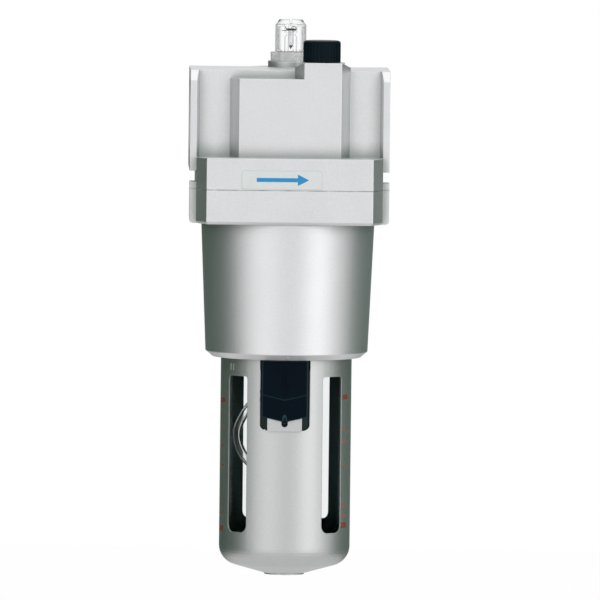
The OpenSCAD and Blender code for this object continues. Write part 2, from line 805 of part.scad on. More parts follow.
module pressure_valve() {
    color("goldenrod") on_axis() translate([-valve_x, 0, 0]) difference() {
        disc(valve_r, z_recess, z_recess + valve_h);
        disc(0.8, z_recess - 1, z_recess + valve_h + 1);
        translate([-valve_r - 1, -valve_slot / 2, z_recess - 1])
            cube([2 * valve_r + 2, valve_slot, valve_slot + 1.1]);
    }
}

module pressure_ball() {
    color("gainsboro") on_axis() translate([-valve_x, 0, z_recess + valve_h + ball_r + 0.02])
        sphere(r = ball_r, $fn = 32);
}

module oil_tube() {
    bow = [for (q = tube_bow) [q[0] * tube_reach, q[1] * tube_reach,
        z_joint + q[2] * (z_strainer - z_joint)]];
    p = along(concat([for (d = [3, 9, 14]) [0, dome_y, z_joint - d]], bow,
        [for (d = [7, 3.5, 0]) [tube_foot_x, 0, z_strainer + d]]), tube_steps);
    n = tube_sides;
    last = len(p) - 1;
    points = concat([for (i = [0:last]) each ring_points(p, i, tube_r, n)],
        [for (i = [0:last]) each ring_points(p, i, tube_bore, n)]);
    inner = (last + 1) * n;
    walls = [for (i = [0:last - 1]) for (k = [0:n - 1]) each let (m = (k + 1) % n)
        [[i * n + k, i * n + m, (i + 1) * n + m, (i + 1) * n + k],
            [inner + i * n + k, inner + (i + 1) * n + k, inner + (i + 1) * n + m, inner + i * n + m]]];
    ends = [for (k = [0:n - 1]) each let (m = (k + 1) % n)
        [[k, inner + k, inner + m, m],
            [last * n + k, last * n + m, inner + last * n + m, inner + last * n + k]]];
    color("beige", 0.7) on_axis() polyhedron(points = points, faces = concat(walls, ends));
}

module oil_strainer() {
    color("goldenrod") on_axis() translate([tube_foot_x, 0, z_strainer]) {
        disc(strainer_r, -strainer_h, 0);
        disc(tube_bore - 0.1, -1, 3);
    }
}

// Lower outline of the guard, or of what fits inside it when inset, from its side to its centre
function cup(inset) =
    let (c = max(guard_corner - inset, 1), end = guard_slope - 90,
        cz = z_foot + foot_h + (guard_r - guard_corner - foot_r) * tan(guard_slope) + guard_corner,
        foot = z_foot + foot_h + 1.4 * inset)
    concat(arc_points(guard_r - guard_corner, cz, c, 0, end, 8), [[foot_r, foot], [0, foot]]);

module bowl() {
    groove_r = bowl_ring_mid - bowl_ring_r - 0.05;
    groove_h = bowl_ring_r + 0.15;
    color("whitesmoke", 0.3) on_axis() rotate_extrude() difference() {
        polygon(concat([[0, z_neck], [neck_r, z_neck], [neck_r, bowl_ring_z + groove_h],
            [groove_r, bowl_ring_z + groove_h], [groove_r, bowl_ring_z - groove_h],
            [neck_r, bowl_ring_z - groove_h], [neck_r, z_flange_top], [bowl_flange_r, z_flange_top],
            [bowl_flange_r, z_collar_top], [bowl_r, z_collar_top]], cup(guard_r - bowl_r)));
        polygon(concat([[0, z_neck + 1], [bowl_in, z_neck + 1]], cup(guard_r - bowl_in)));
    }
}

module bowl_ring() {
    color("dimgray") on_axis() torus(bowl_ring_mid, bowl_ring_r, bowl_ring_z);
}

module bayonet_collar() {
    lug_reach = lug_r / cos(lug_angle / 2);
    color("gray") at_guard() difference() {
        union() {
            tube(collar_r, guard_r + fit_gap, z_collar, z_collar_top);
            upright(z_lug, z_lug + lug_h) for (k = [0:lug_count - 1]) rotate(360 * k / lug_count)
                difference() {
                    intersection() {
                        circle(r = lug_r);
                        polygon([[0, 0], [-lug_reach * sin(lug_angle / 2), -lug_reach * cos(lug_angle / 2)],
                            [0, -lug_reach - 1],
                            [lug_reach * sin(lug_angle / 2), -lug_reach * cos(lug_angle / 2)]]);
                    }
                    circle(r = collar_r - 0.3);
                }
        }
        for (k = [0:lug_count - 1]) rotate(360 * k / lug_count + 180 / lug_count)
            translate([0, -guard_r, z_collar + collar_h / 2]) rotate([90, 0, 0])
            cylinder(h = 8, r = 0.8 + fit_gap, center = true, $fn = 32);
    }
}

module collar_rivets() {
    color("gray") at_guard() for (k = [0:lug_count - 1]) rotate(360 * k / lug_count + 180 / lug_count)
        translate([0, 0, z_collar + collar_h / 2]) rotate([90, 0, 0])
        translate([0, 0, guard_r - guard_t + 0.05])
        cylinder(h = guard_t + collar_t, r = 0.8, $fn = 32);
}

module rounded_window(w, h, r_top, r_low) {
    translate([-w / 2, r_low]) square([w, h - r_low - r_top]);
    translate([r_low - w / 2, 0]) square([w - 2 * r_low, h / 2]);
    translate([r_top - w / 2, h / 2]) square([w - 2 * r_top, h / 2]);
    for (s = [-1, 1]) {
        translate([s * (w / 2 - r_low), r_low]) circle(r = r_low, $fn = 32);
        translate([s * (w / 2 - r_top), h - r_top]) circle(r = r_top, $fn = 32);
    }
}

module radial_cut(angle, z) {
    rotate(angle) translate([0, -guard_r + 6, z]) rotate([90, 0, 0]) linear_extrude(height = 10)
        children();
}

module bowl_guard() {
    button_w = 2 * (button_half + button_half_gap);
    color("lightgray") at_guard() difference() {
        union() {
            difference() {
                rotate_extrude() difference() {
                    polygon(concat([[0, z_collar_top], [guard_r, z_collar_top]], cup(0)));
                    polygon(concat([[0, z_collar_top + 1], [guard_r - guard_t, z_collar_top + 1]],
                        cup(guard_t)));
                }
                for (s = [-1, 1]) {
                    radial_cut(s * window_front, z_lip - window_top - window_h)
                        rounded_window(window_w, window_h, window_round_top, window_round_low);
                    radial_cut(s * window_rear, z_lip - window_top - window_h + window_rise)
                        rounded_window(window_w, window_h - window_rise, window_round_top,
                            window_round_low);
                }
                radial_cut(0, z_window_foot)
                    rounded_window(button_w, z_collar - z_window_foot - 0.2, 1, window_round_foot);
            }
            disc(foot_r, z_foot, z_foot + foot_h + guard_t / 2);
            translate([-tongue_half, -tongue_y - tongue_t, z_window_foot])
                cube([2 * tongue_half, tongue_t, tongue_h]);
            difference() {
                translate([-tongue_half, -tongue_y - tongue_t, z_window_foot - fold_t / 3])
                    cube([2 * tongue_half, tongue_y + tongue_t - guard_r / 2, fold_t]);
                disc(guard_r - guard_t, z_window_foot - 1, z_window_foot + 1);
            }
        }
        front_view(-tongue_y - tongue_t - 1, 1 - tongue_y) translate([0, slot_z + tongue_slot]) {
            circle(r = tongue_slot, $fn = 32);
            translate([-tongue_slot, 0]) square([2 * tongue_slot, tongue_h]);
        }
        for (k = [0:lug_count - 1]) rotate(360 * k / lug_count + 180 / lug_count)
            translate([0, -guard_r, z_collar + collar_h / 2]) rotate([90, 0, 0])
            cylinder(h = 8, r = 0.8 + fit_gap, center = true, $fn = 32);
    }
}

module button_side() {
    foot = z_button - button_h;
    face = -button_in - button_d;
    rotate([90, 0, 90]) linear_extrude(height = 2 * (button_half + button_h), center = true)
        polygon([[-button_back, z_button + 4], [face, z_button + 4], [face, z_button],
            [face - ridge_d, foot + ridge_h], [face - 0.4, foot - button_v],
            [-button_back, foot - button_v]]);
}

module lock_button() {
    v_angle = atan(button_v / button_half);
    tongue_top = z_window_foot + tongue_h + button_travel + run_gap;
    z_low = z_button - button_h - button_v;
    color([0.06, 0.07, 0.08]) at_guard() difference() {
        for (s = [-1, 1]) intersection() {
            translate([0, 0, z_low]) rotate([0, -s * v_angle, 0]) translate([0, 0, -z_low]) button_side();
            translate([s > 0 ? 0 : -button_half, -button_in - 8, z_low - 1])
                cube([button_half, 13, button_h + button_v + 1]);
        }
        disc(button_in, z_low - 2, z_button + 1);
        difference() {
            translate([-tongue_half - 0.25, -tongue_y - tongue_t - 0.25, z_low - 2])
                cube([2 * tongue_half + 0.5, tongue_t + 0.5, tongue_top - z_low + 2]);
            translate([-tongue_slot + 0.25, -tongue_y - tongue_t - 1, rib_z])
                cube([2 * tongue_slot - 0.5, tongue_t + 2, button_h]);
        }
        translate([0, -tongue_y - tongue_t / 2, 0]) disc(tongue_slot - 0.05, z_low - 2, rib_z);
    }
}

module button_spring() {
    n = 16;
    low = spring_z + spring_wire + 0.05;
    high = rib_z - spring_wire - 0.05;
    steps = spring_turns * n;
    p = [for (i = [0:steps]) [spring_r * cos(360 * i / n), spring_r * sin(360 * i / n),
        low + (high - low) * i / steps]];
    sides = 6;
    points = [for (i = [0:steps]) for (k = [0:sides - 1]) let (t = tangent(p, i),
        u = unit([p[i][0], p[i][1], 0]), v = cross(t, u))
        p[i] + spring_wire * (cos(360 * k / sides) * u + sin(360 * k / sides) * v)];
    walls = [for (i = [0:steps - 1]) for (k = [0:sides - 1]) each
        let (a = i * sides + k, b = i * sides + (k + 1) % sides)
        [[a, b, b + sides], [a, b + sides, a + sides]]];
    ends = [[for (k = [sides - 1:-1:0]) k], [for (k = [0:sides - 1]) steps * sides + k]];
    color("gray") at_guard() translate([0, -tongue_y - tongue_t / 2, 0])
        polyhedron(points = points, faces = concat(walls, ends));
}

head_casting();
bowl_housing();
housing_ring();
housing_screws();
screw_washers();
damper_cartridge();
cartridge_screws();
cartridge_ring();
damper_flap();
damper_pin();
dome_nut();
dome_nut_ring();
sight_dome();
dome_ring();
drip_nozzle();
metering_needle();
needle_ring();
fill_plug();
fill_plug_ring();
siphon_adapter();
siphon_ring();
siphon_ball();
pressure_valve();
pressure_ball();
oil_tube();
oil_strainer();
bowl();
bowl_ring();
bayonet_collar();
collar_rivets();
bowl_guard();
lock_button();
button_spring();
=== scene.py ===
import math

import bmesh
import bpy
from mathutils import Matrix, Vector


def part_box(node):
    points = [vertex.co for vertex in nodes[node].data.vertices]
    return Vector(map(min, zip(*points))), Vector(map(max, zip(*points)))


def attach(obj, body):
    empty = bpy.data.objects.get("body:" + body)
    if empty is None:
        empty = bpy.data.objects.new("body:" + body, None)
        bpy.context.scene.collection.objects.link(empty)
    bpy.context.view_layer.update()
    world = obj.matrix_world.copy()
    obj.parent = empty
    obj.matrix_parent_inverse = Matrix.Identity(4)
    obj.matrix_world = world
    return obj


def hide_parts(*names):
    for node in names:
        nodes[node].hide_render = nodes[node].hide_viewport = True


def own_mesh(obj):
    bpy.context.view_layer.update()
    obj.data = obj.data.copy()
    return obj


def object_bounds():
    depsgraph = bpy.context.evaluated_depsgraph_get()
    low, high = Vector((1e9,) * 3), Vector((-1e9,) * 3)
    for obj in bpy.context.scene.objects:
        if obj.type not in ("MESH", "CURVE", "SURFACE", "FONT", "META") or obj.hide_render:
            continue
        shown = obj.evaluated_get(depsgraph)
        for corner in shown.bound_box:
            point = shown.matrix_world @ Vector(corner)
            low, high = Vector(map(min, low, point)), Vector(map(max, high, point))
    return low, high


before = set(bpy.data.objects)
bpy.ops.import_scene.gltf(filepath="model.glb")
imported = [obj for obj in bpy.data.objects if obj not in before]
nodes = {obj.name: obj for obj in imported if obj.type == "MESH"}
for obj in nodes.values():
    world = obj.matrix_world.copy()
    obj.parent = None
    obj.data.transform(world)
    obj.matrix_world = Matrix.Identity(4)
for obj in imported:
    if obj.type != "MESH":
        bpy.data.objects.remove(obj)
cadLow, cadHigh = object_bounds()
mm = 0.001
boxLow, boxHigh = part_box("bowl")
bowlAxis = Vector(((boxLow.x + boxHigh.x) / 2, 0, 0))
guardTurn = math.radians(-2)  # the locked guard sits a little off the front
print("frame loaded:", len(nodes), "nodes")


class Wire:  # a socket that can stand in a sum
    def __init__(self, finish, socket):
        self.finish = finish
        self.socket = socket

    def maths(self, operation, *values):
        return self.finish.node("ShaderNodeMath", {"operation": operation}, dict(enumerate(values)))

    def __add__(self, other):
        return self.maths("ADD", self, other)

    def __sub__(self, other):
        return self.maths("SUBTRACT", self, other)

    def __rsub__(self, other):
        return self.maths("SUBTRACT", other, self)

    def __mul__(self, other):
        return self.maths("MULTIPLY", self, other)

    def __abs__(self):
        return self.maths("ABSOLUTE", self)

    def __and__(self, other):  # where both masks are
        return self.maths("MINIMUM", self, other)

    def __or__(self, other):  # where either mask is
        return self.maths("MAXIMUM", self, other)

    __radd__, __rmul__, __rand__, __ror__ = __add__, __mul__, __and__, __or__


noiseLow, noiseHigh = 0.3, 0.7  # a noise seldom leaves this range
cornerSamples = 6


class Finish:  # the nodes that make one material, or the world
    def __init__(self, owner):
        self.owner = owner
        self.owner.use_nodes = True
        self.tree = owner.node_tree
        self.tree.nodes.clear()

    def node(self, kind, settings=None, sockets=None, output=0):
        made = self.tree.nodes.new(kind)
        for key, value in (settings or {}).items():
            setattr(made, key, value)
        for key, value in (sockets or {}).items():
            if isinstance(value, Wire):
                self.tree.links.new(value.socket, made.inputs[key])
            else:
                made.inputs[key].default_value = value
        return Wire(self, made.outputs[output]) if made.outputs else None

    def place(self):  # object coordinates, in metres
        return self.node("ShaderNodeTexCoord", output="Object")

    def grain(self, size, detail=2.0, rough=0.5):  # noise whose lumps are about size metres wide
        return self.node("ShaderNodeTexNoise", {"noise_dimensions": "3D"},
                         {"Vector": self.place(), "Scale": 1 / size, "Detail": detail, "Roughness": rough})

    def axes(self):  # object coordinates one by one
        split = self.node("ShaderNodeSeparateXYZ", None, {0: self.place()})
        return [Wire(self, split.socket.node.outputs[k]) for k in range(3)]

    def ramp(self, wire, low, high):  # 0 below low, 1 above high, a soft step between
        return self.node("ShaderNodeMapRange", {"interpolation_type": "SMOOTHSTEP"},
                         {"Value": wire, "From Min": low, "From Max": high})

    def band(self, wire, low, high, soft):  # 1 between low and high
        return self.ramp(wire, low, low + soft) & (1 - self.ramp(wire, high - soft, high))

    def cornerShade(self, reach, low, high):  # painted shade mask: 1 deep in a corner, 0 on open faces
        clearance = self.node("ShaderNodeAmbientOcclusion", {"samples": cornerSamples}, {"Distance": reach}, 1)
        return 1 - self.ramp(clearance, low, high)

    def edgeHighlight(self, normal, reach):  # mask of a painted edge highlight: grows where the rounded normal leaves the flat one
        flat = self.node("ShaderNodeNewGeometry", output="Normal")
        same = self.node("ShaderNodeVectorMath", {"operation": "DOT_PRODUCT"}, {0: normal, 1: flat}, 1)
        return self.ramp(1 - same, 0.0, reach)

    def mix(self, factor, first, second):  # colours
        first, second = ((*tone, 1) if isinstance(tone, tuple) else tone for tone in (first, second))
        return self.node("ShaderNodeMix", {"data_type": "RGBA"}, {0: factor, 6: first, 7: second}, 2)

    def between(self, wire, low, high):  # spreads a noise over low..high
        return self.node("ShaderNodeMapRange", {"clamp": True},
                         {"Value": wire, "From Min": noiseLow, "From Max": noiseHigh, "To Min": low, "To Max": high})

    def bump(self, height, strength, distance, normal=None):
        sockets = {"Height": height, "Strength": strength, "Distance": distance}
        if normal:
            sockets["Normal"] = normal
        return self.node("ShaderNodeBump", None, sockets)

    def softEdges(self, radius):  # rounds the edges in the shading
        return self.node("ShaderNodeBevel", {"samples": cornerSamples}, {"Radius": radius})

    def principled(self, sockets):
        return self.node("ShaderNodeBsdfPrincipled", None, sockets)

    def close(self, shader, output="ShaderNodeOutputMaterial"):
        self.node(output, None, {"Surface": shader})
        return self.owner


def newFinish(name):
    return Finish(bpy.data.materials.new(name))


castPaint = {
    "tone": (0.70, 0.70, 0.71),
    "toneDark": (0.60, 0.605, 0.61),
    "speck": 0.0006,
    "speckShare": 0.75,     # of the change in tone; the cloud has the rest
    "cloud": 0.02,
    # painted highlight on the rounded edges
    "toneEdgeHighlight": (0.78, 0.79, 0.79),
    "edgeHighlightReach": 0.25,
    "edgeHighlightShare": 0.6,
    "toneCornerShade": (0.22, 0.26, 0.235),  # painted shade in the corners, where shade falls
    "cornerShadeReach": 0.008,
    "cornerShadeStep": (0.45, 0.92),
    "cornerShadeShare": 0.75,
    # painted shade: a dark line at the joint, standing in for the shade in its narrow gap
    "seamShade": (0.20, 0.22, 0.215),
    "seamZ": -0.0301,       # the joint between the head and the housing
    "seamHalf": 0.00028,
    "seamSoft": 0.00012,
    "seamWave": 0.006,
    "seamFaint": 0.25,      # what is left of the line where it fades
    "orangePeel": 0.0035,
    "speckRelief": 0.6,     # of the relief; the orange peel has the rest
    "relief": (0.12, 0.00008),
    "metal": 0.90,
    "rough": (0.42, 0.52),
    "edge": 0.0006,
}


def makeCastPaint(name, look):
    paint = newFinish(name)
    speck = paint.grain(look["speck"], 3.0, 0.6)
    cloud = paint.grain(look["cloud"])
    edges = paint.softEdges(look["edge"])
    height = paint.axes()[2]
    # painted shade along the joint between head and housing
    seamShade = paint.band(height, look["seamZ"] - look["seamHalf"], look["seamZ"] + look["seamHalf"], look["seamSoft"])
    seamShade = seamShade * paint.between(paint.grain(look["seamWave"]), look["seamFaint"], 1.0)
    change = speck * look["speckShare"] + cloud * (1 - look["speckShare"])
    tone = paint.mix(paint.between(change, 0.0, 1.0), look["toneDark"], look["tone"])
    # painted highlight: a lighter tone on rounded edges
    tone = paint.mix(paint.edgeHighlight(edges, look["edgeHighlightReach"]) * look["edgeHighlightShare"], tone, look["toneEdgeHighlight"])
    # painted shade: the paint is made darker deep in corners
    cornerShade = paint.cornerShade(look["cornerShadeReach"], *look["cornerShadeStep"])
    tone = paint.mix(cornerShade * look["cornerShadeShare"], tone, look["toneCornerShade"])
    peel = paint.grain(look["orangePeel"], 1.0)
    relief = speck * look["speckRelief"] + peel * (1 - look["speckRelief"])
    return paint.close(paint.principled({
        "Base Color": paint.mix(seamShade, tone, look["seamShade"]),
        "Metallic": look["metal"],
        "Roughness": paint.between(speck, *look["rough"]),
        "Normal": paint.bump(relief, *look["relief"], edges),
    }))


guardPaint = {
    "tone": (0.54, 0.555, 0.55),
    "toneDark": (0.46, 0.475, 0.465),
    # painted highlight on the rounded edges
    "toneEdgeHighlight": (0.78, 0.79, 0.78),
    "edgeHighlightReach": 0.25,
    "edgeHighlightShare": 0.5,
    "inside": (0.013, 0.060, 0.056),     # painted shade: the guard's inner face is coloured dark for the shade inside it
    "insideR": 0.0292,
    "insideSoft": 0.0002,
    "insideLow": -0.193,
    "insideLowSoft": 0.002,
    "insideRough": 0.2,     # added to the roughness
    "speck": 0.0005,
    "relief": (0.12, 0.00006),
    "metal": 0.90,
    "rough": (0.42, 0.50),
    "edge": 0.0003,
}


def makeGuardPaint(name, look):
    paint = newFinish(name)
    speck = paint.grain(look["speck"], 3.0, 0.6)
    edges = paint.softEdges(look["edge"])
    x, y, z = paint.axes()
    x = x - bowlAxis.x
    # painted shade on the guard's inner face, above its foot
    wall = paint.ramp(x * x + y * y, (look["insideR"] - look["insideSoft"]) ** 2, look["insideR"] ** 2)
    inside = (1 - wall) & paint.ramp(z, look["insideLow"], look["insideLow"] + look["insideLowSoft"])
    tone = paint.mix(paint.between(speck, 0.0, 1.0), look["toneDark"], look["tone"])
    # painted highlight: a lighter tone on rounded edges
    tone = paint.mix(paint.edgeHighlight(edges, look["edgeHighlightReach"]) * look["edgeHighlightShare"], tone, look["toneEdgeHighlight"])
    return paint.close(paint.principled({
        "Base Color": paint.mix(inside, tone, look["inside"]),
        "Metallic": look["metal"] * (1 - inside),
        "Roughness": paint.between(speck, *look["rough"]) + inside * look["insideRough"],
        "Normal": paint.bump(speck, *look["relief"], edges),
    }))


castPaintFinish = makeCastPaint("castPaint", castPaint)
guardPaintFinish = makeGuardPaint("guardPaint", guardPaint)

metals = {
    "steelZinc": {"tone": (0.55, 0.55, 0.54), "dark": (0.42, 0.42, 0.41), "rough": (0.28, 0.42), "grain": 0.0006},
    "needleBright": {"tone": (0.88, 0.88, 0.87), "dark": (0.78, 0.78, 0.77), "rough": (0.45, 0.55), "grain": 0.0006},
    "springDark": {"tone": (0.05, 0.055, 0.055), "dark": (0.03, 0.035, 0.035), "rough": (0.40, 0.55), "grain": 0.0004},
    "brassTurned": {"tone": (0.72, 0.52, 0.22), "dark": (0.58, 0.40, 0.15), "rough": (0.25, 0.40), "grain": 0.0006},
    "bronzeSintered": {"tone": (0.55, 0.36, 0.16), "dark": (0.28, 0.17, 0.07), "rough": (0.55, 0.80), "grain": 0.0005},
}
metalFace = {"relief": (0.1, 0.00005), "edge": 0.0002}


def makeMetal(name, look):
    metal = newFinish(name)
    speck = metal.grain(look["grain"])
    return metal.close(metal.principled({
        "Base Color": metal.mix(metal.between(speck, 0.0, 1.0), look["dark"], look["tone"]),
        "Metallic": 1.0,
        "Roughness": metal.between(speck, *look["rough"]),
        "Normal": metal.bump(speck, *metalFace["relief"], metal.softEdges(metalFace["edge"])),
    }))


metalFinishes = {name: makeMetal(name, look) for name, look in metals.items()}

mouldings = {
    "rubberBlack": {"tone": (0.018, 0.018, 0.018), "dark": (0.010, 0.010, 0.010), "rough": (0.60, 0.75),
                    "grain": 0.0008},
    "rubberFlap": {"tone": (0.060, 0.065, 0.040), "dark": (0.040, 0.045, 0.028), "rough": (0.60, 0.75),
                   "grain": 0.0010},
    "cartridgeGrey": {"tone": (0.110, 0.115, 0.120), "dark": (0.085, 0.090, 0.095), "rough": (0.45, 0.60),
                      "grain": 0.0012},
    # painted highlight: the plug's and button's edge colours are lighter on rounded edges
    "plugBlack": {"tone": (0.0012, 0.0085, 0.0135), "dark": (0.0007, 0.0055, 0.0090), "rough": (0.34, 0.46),
                  "grain": 0.0010, "shine": 0.06, "edgeHighlight": (0.012, 0.030, 0.040), "edgeHighlightReach": 0.15},
    "buttonBlack": {"tone": (0.0008, 0.0055, 0.0120), "dark": (0.0004, 0.0028, 0.0070), "rough": (0.38, 0.50),
                    "grain": 0.0009, "shine": 0.05, "edgeHighlight": (0.022, 0.060, 0.068), "edgeHighlightReach": 0.006,
                    "edge": 0.0006},
    # painted shade: the dark colour of the sheet behind the button window
    "backingShade": {"tone": (0.014, 0.028, 0.026), "dark": (0.010, 0.020, 0.019), "rough": (0.55, 0.70),
                    "grain": 0.0012, "shine": 0.2},
    "labelWhite": {"tone": (0.80, 0.81, 0.82), "dark": (0.76, 0.77, 0.78), "rough": (0.28, 0.36), "grain": 0.0015},
    "labelBlue": {"tone": (0.010, 0.30, 0.66), "dark": (0.008, 0.27, 0.60), "rough": (0.28, 0.36), "grain": 0.0015},
    "inkRed": {"tone": (0.28, 0.075, 0.040), "dark": (0.22, 0.060, 0.033), "rough": (0.45, 0.60), "grain": 0.0005},
    "inkOrange": {"tone": (0.42, 0.17, 0.080), "dark": (0.30, 0.13, 0.070), "rough": (0.45, 0.60), "grain": 0.0005},
    "inkGrey": {"tone": (0.060, 0.065, 0.070), "dark": (0.040, 0.045, 0.050), "rough": (0.40, 0.55),
                "grain": 0.0005},
}
mouldedFace = {
    "relief": (0.15, 0.00005),
    "edge": 0.0003,
    "shine": 0.5,
    "sunk": (0.8, 0.0003),  # relief of a pressed mark
    "sunkShare": 0.6,       # and how much darker it is
}


def makeMoulding(name, look, carve=None):  # carve gives a mask that sinks into the face
    plastic = newFinish(name)
    speck = plastic.grain(look["grain"], 3.0, 0.6)
    edges = plastic.softEdges(look.get("edge", mouldedFace["edge"]))
    normal = plastic.bump(speck, *mouldedFace["relief"], edges)
    tone = plastic.mix(plastic.between(speck, 0.0, 1.0), look["dark"], look["tone"])
    # painted highlight on rounded edges
    if "edgeHighlight" in look:
        tone = plastic.mix(plastic.edgeHighlight(edges, look["edgeHighlightReach"]), tone, look["edgeHighlight"])
    if carve:
        sunk = carve(plastic)
        normal = plastic.bump(1 - sunk, *mouldedFace["sunk"], normal)
        tone = plastic.mix(sunk * mouldedFace["sunkShare"], tone, look["dark"])
    return plastic.close(plastic.principled({
        "Base Color": tone,
        "Roughness": plastic.between(speck, *look["rough"]),
        "Specular IOR Level": look.get("shine", mouldedFace["shine"]),
        "Normal": normal,
    }))


buttonArrow = {
    "x": 0.0437,            # centre of the pressed arrow
    "top": -0.1105,
    "neck": -0.1182,
    "tip": -0.1237,
    "shaft": 0.0009,        # half widths
    "head": 0.0024,
    "soft": 0.0003,
}


def buttonArrowMask(plastic):
    look = buttonArrow
    x, y, z = plastic.axes()
    aside = abs(x - look["x"])
    soft = look["soft"]
    shaft = 1 - plastic.ramp(aside, look["shaft"] - soft, look["shaft"])
    shaft = shaft & plastic.band(z, look["neck"], look["top"], soft)
    slope = look["head"] / (look["neck"] - look["tip"])
    reach = (z - look["tip"]) * slope - aside
    head = plastic.ramp(reach, 0.0, soft) & (1 - plastic.ramp(z, look["neck"] - soft, look["neck"]))
    return shaft | head


carvings = {"buttonBlack": buttonArrowMask}
mouldingFinishes = {name: makeMoulding(name, look, carvings.get(name)) for name, look in mouldings.items()}

clears = {
    "bowlClear": {"tone": (0.925, 0.935, 0.935), "rough": (0.00, 0.02), "through": 1.0, "wave": 0.012, "bend": 1.03,
                  "shine": 0.12, "rimShading": (0.10, 0.15, 0.13), "rimFrom": 0.45, "rimShare": 0.25},
    "domeClear": {"tone": (0.985, 0.985, 0.99), "rough": (0.00, 0.03), "through": 1.0, "wave": 0.006, "bend": 1.12,
                  "shine": 0.4, "rimShading": (0.20, 0.22, 0.22), "rimFrom": 0.2, "rimShare": 0.7},
    "nutClear": {"tone": (0.98, 0.98, 0.98), "rough": (0.22, 0.32), "through": 0.45, "wave": 0.004, "bend": 1.12,
                 "shine": 0.4, "rimShading": (0.50, 0.53, 0.52), "rimFrom": 0.45, "rimShare": 0.35},
    "tubeNylon": {"tone": (0.96, 0.965, 0.955), "rough": (0.02, 0.05), "through": 0.98, "wave": 0.006, "bend": 1.2,
                  "shine": 0.6, "rimShading": (0.70, 0.72, 0.70), "rimFrom": 0.6, "rimShare": 0.8},
}
clearFace = {"relief": (0.05, 0.0002), "rimTo": 0.95, "rimRough": 0.25}


def makeClear(name, look):
    clear = newFinish(name)
    wave = clear.grain(look["wave"], 1.0)
    glass = clear.principled({
        "Base Color": (*look["tone"], 1),
        "Transmission Weight": look["through"],
        "IOR": look["bend"],
        "Specular IOR Level": look["shine"],
        "Roughness": clear.between(wave, *look["rough"]),
        "Normal": clear.bump(wave, *clearFace["relief"]),
    })
    # painted shade at the grazing edges of clear parts: darker rims on bowl, dome and nut, a painted highlight on the
    # tube
    rimShading = clear.principled({"Base Color": (*look["rimShading"], 1), "Roughness": clearFace["rimRough"]})
    facing = clear.node("ShaderNodeLayerWeight", None, {"Blend": 0.5}, 1)
    edge = clear.ramp(facing, look["rimFrom"], clearFace["rimTo"]) * look["rimShare"]
    return clear.close(clear.node("ShaderNodeMixShader", None, {0: edge, 1: glass, 2: rimShading}))


clearFinishes = {name: makeClear(name, look) for name, look in clears.items()}
print("finishes made")

wearing = {
    "head_casting": castPaintFinish,
    "bowl_housing": castPaintFinish,
    "bowl_guard": guardPaintFinish,
    "lock_button": mouldingFinishes["buttonBlack"],
    "fill_plug": mouldingFinishes["plugBlack"],
    "damper_cartridge": mouldingFinishes["cartridgeGrey"],
    "damper_flap": mouldingFinishes["rubberFlap"],
    "bowl": clearFinishes["bowlClear"],
    "sight_dome": clearFinishes["domeClear"],
    "drip_nozzle": clearFinishes["domeClear"],
    "dome_nut": clearFinishes["nutClear"],
    "oil_tube": clearFinishes["tubeNylon"],
    "oil_strainer": metalFinishes["bronzeSintered"],
    "metering_needle": metalFinishes["needleBright"],
    "button_spring": metalFinishes["springDark"],
    "siphon_adapter": metalFinishes["brassTurned"],
    "pressure_valve": metalFinishes["brassTurned"],
}
for name, part in nodes.items():
    other = mouldingFinishes["rubberBlack"] if name.endswith("_ring") else metalFinishes["steelZinc"]
    part.data.materials.clear()
    part.data.materials.append(wearing.get(name, other))
print("nodes finished")


def makeMesh(name, points, faces, finish):
    mesh = bpy.data.meshes.new(name)
    mesh.from_pydata([tuple(p) for p in points], [], faces)
    mesh.materials.append(finish)
    made = bpy.data.objects.new(name, mesh)
    bpy.context.scene.collection.objects.link(made)
    return made


def makePiece(name, shape, finish, body, smooth=False):
    piece = makeMesh(name, *shape, finish)
    piece.data.validate()
    turned = bmesh.new()
    turned.from_mesh(piece.data)
    bmesh.ops.recalc_face_normals(turned, faces=turned.faces)
    turned.to_mesh(piece.data)
    turned.free()
    if smooth:
        piece.data.shade_smooth()
    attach(piece, body)
    return piece


def onGuard(angle, radius, z):  # degrees round from the lock button, millimetres
    turn = math.radians(angle) + guardTurn
    return bowlAxis + Vector((math.sin(turn) * radius, -math.cos(turn) * radius, z)) * mm


def ringWalls(first, count, sides):  # faces along a row of rings of points
    return [(first + k * sides + j, first + k * sides + (j + 1) % sides,
             first + (k + 1) * sides + (j + 1) % sides, first + (k + 1) * sides + j)
            for k in range(count) for j in range(sides)]


def bentPlates(plates, radius, thick, steps=5):  # thin plates that follow the guard: (from, to, low, high)
    points, faces = [], []
    for start, end, low, high in plates:
        first = len(points)
        for k in range(steps + 1):
            angle = start + (end - start) * k / steps
            for r, z in ((radius + thick, low), (radius + thick, high), (radius - thick, high), (radius - thick, low)):
                points.append(onGuard(angle, r, z))
        faces += ringWalls(first, steps, 4)
        faces += [tuple(first + j for j in range(4)), tuple(first + 4 * steps + 3 - j for j in range(4))]
    return points, faces


levelMarks = {
    "bars": [(-79.5, -66.5, -127.7, -125.7), (-79.5, -68.0, -185.6, -183.4),
             (60.5, 70.5, -125.5, -123.4), (60.0, 70.5, -183.6, -181.1)],
    "rightTicks": (62.0, 67.5, 0.7, (-139.0, -144.5, -154.9, -173.4, -178.0)),  # from, to, half height, heights
    "leftTicks": (-74.0, -69.5, 0.6, (-131.5, -139.0, -147.0, -156.0, -178.0)),
    "radius": 29.6,
    "thick": 0.05,
}
ticks = [(start, end, z - half, z + half)
         for start, end, half, heights in (levelMarks["rightTicks"], levelMarks["leftTicks"]) for z in heights]
for name, plates, ink in (("level_bars", levelMarks["bars"], "inkRed"), ("level_ticks", ticks, "inkOrange")):
    makePiece(name, bentPlates(plates, levelMarks["radius"], levelMarks["thick"]), mouldingFinishes[ink],
              "bowl_unit")

